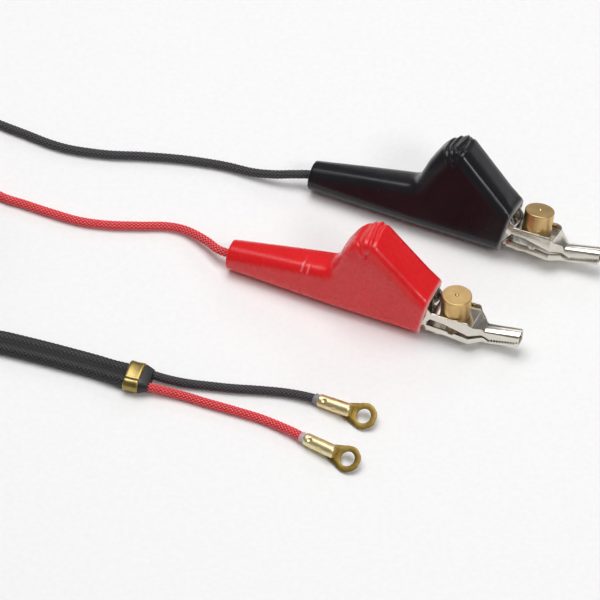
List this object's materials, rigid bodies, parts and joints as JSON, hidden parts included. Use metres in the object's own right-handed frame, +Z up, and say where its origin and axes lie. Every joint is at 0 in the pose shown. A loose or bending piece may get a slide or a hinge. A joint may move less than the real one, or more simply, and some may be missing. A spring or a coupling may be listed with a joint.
{
  "type": "test clip lead set",
  "caption": "Braided two-core test lead with booted spring clips holding nail beds at one end and ring terminals at the other.",
  "frame": {"origin": "centre of the two clips' box, on the surface the set lies on", "axes": "+Z up; +X from the coiled sheath towards the clips' noses; +Y away from the viewer"},
  "size_m": [0.2634, 0.1354, 0.0297],
  "materials": {
    "black_vinyl": "glossy dip-moulded vinyl",
    "red_vinyl": "glossy dip-moulded vinyl",
    "nickel_steel": "bright nickel plate",
    "spring_steel": "drawn wire",
    "turned_brass": "turned, lightly toned",
    "terminal_brass": "bright stamped sheet",
    "band_brass": "satin, toned",
    "copper": "tinsel strands",
    "black_braid": "tight braided yarn",
    "red_braid": "tight braided yarn",
    "sheath_braid": "flat braided yarn",
    "clear_film": "thin clear shrink film",
    "tie_nylon": "nylon strap"
  },
  "bodies": {
    "root": {"black_boot": "black_vinyl", "black_lower_jaw": "nickel_steel", "black_pivot_pin": "nickel_steel", "black_jaw_spring": "spring_steel", "black_wire_ferrule": "turned_brass", "black_wire_core": "copper", "black_lead_tail": "black_braid", "black_lead": "black_braid", "black_pigtail": "black_braid", "black_terminal_sleeve": "clear_film", "black_terminal": "terminal_brass", "black_strands": "copper", "red_boot": "red_vinyl", "red_lower_jaw": "nickel_steel", "red_pivot_pin": "nickel_steel", "red_jaw_spring": "spring_steel", "red_wire_ferrule": "turned_brass", "red_wire_core": "copper", "red_lead_tail": "red_braid", "red_lead": "red_braid", "red_pigtail": "red_braid", "red_terminal_sleeve": "clear_film", "red_terminal": "terminal_brass", "red_strands": "copper", "clip_end_band": "band_brass", "clip_end_taper": "sheath_braid", "sheath_exit": "sheath_braid", "sheath_coil": "sheath_braid", "coil_tie": "tie_nylon", "sheath_run": "sheath_braid", "ring_end_band": "band_brass", "ring_end_taper": "sheath_braid"},
    "black_jaw": {"black_upper_jaw": "nickel_steel", "black_nail_bed": "turned_brass", "black_nails": "spring_steel"},
    "red_jaw": {"red_upper_jaw": "nickel_steel", "red_nail_bed": "turned_brass", "red_nails": "spring_steel"}
  },
  "joints": [
    {"name": "black_jaw_hinge", "type": "hinge", "parent": "root", "child": "black_jaw", "pos_m": [0.02442, 0.00923, 0.00667], "axis": [-0.3467, -0.8668, 0.3584], "range_deg": [0, 16], "stiffness_Nm_per_rad": 0.1, "springref_deg": -28.65, "deforming": ["black_jaw_spring"]},
    {"name": "red_jaw_hinge", "type": "hinge", "parent": "root", "child": "red_jaw", "pos_m": [0.00123, -0.02029, 0.00629], "axis": [-0.3678, -0.9194, 0.1392], "range_deg": [0, 16], "stiffness_Nm_per_rad": 0.1, "springref_deg": -28.65, "deforming": ["red_jaw_spring"]}
  ]
}
